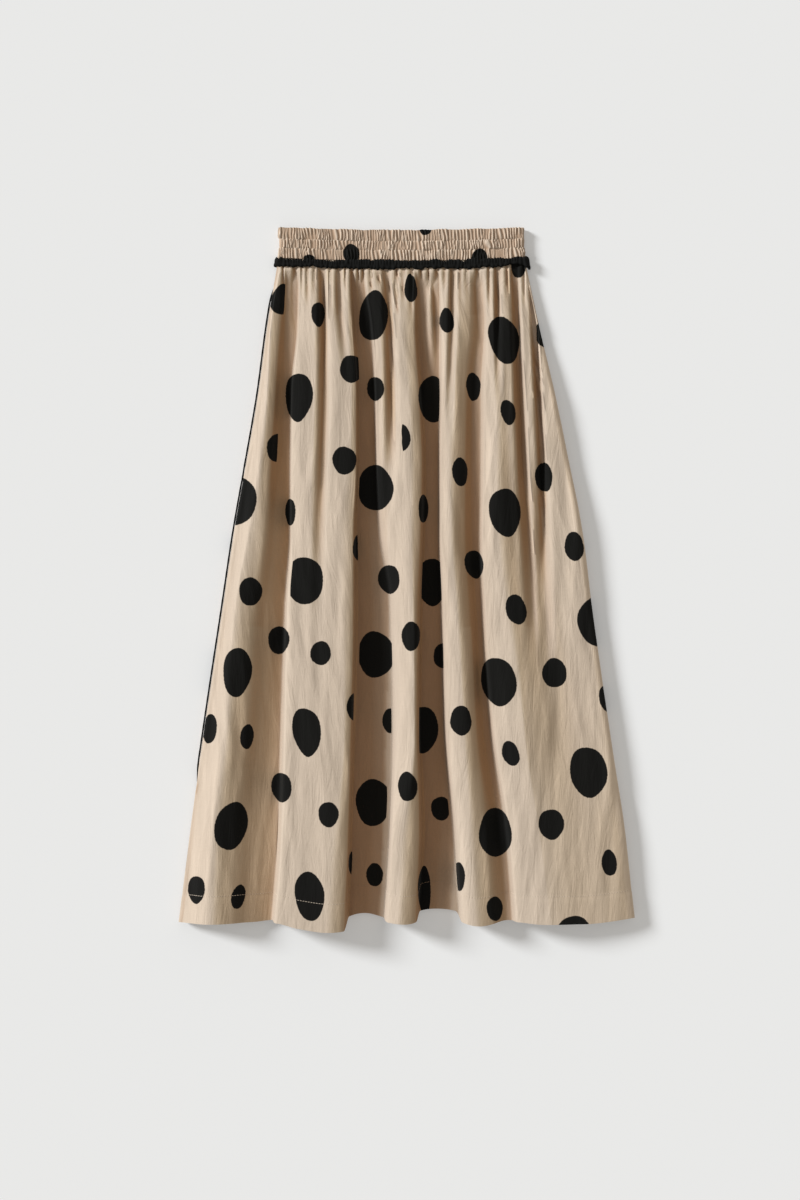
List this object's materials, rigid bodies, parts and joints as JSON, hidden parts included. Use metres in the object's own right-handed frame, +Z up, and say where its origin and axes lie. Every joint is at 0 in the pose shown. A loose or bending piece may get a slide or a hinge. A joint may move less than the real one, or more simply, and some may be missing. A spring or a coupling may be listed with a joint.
{
  "type": "a-line midi skirt, laid flat",
  "caption": "Gathered A-line midi skirt in beige cloth with black polka dots, shirred elastic waistband, black frill and side piping, laid flat on its back.",
  "frame": {"origin": "centre of the bounding box in X and Y, on the surface the skirt lies on", "axes": "+Y up the skirt from the hem to the waist, +X to the right seen from above, +Z up from the surface out of the front"},
  "size_m": [0.5442, 0.8388, 0.033],
  "materials": {
    "printed_cloth": "matt woven cloth, beige with black dots",
    "printed_cloth_back": "matt woven cloth, beige with black dots",
    "band_cloth": "matt shirred cloth over elastic",
    "frill_black": "matt black gathered trim",
    "piping_black": "matt black piping"
  },
  "bodies": {
    "root": {"front_panel": "printed_cloth", "back_panel": "printed_cloth_back", "waistband": "band_cloth", "waist_trim": "frill_black", "side_piping_left": "piping_black", "side_piping_right": "piping_black"}
  },
  "joints": []
}
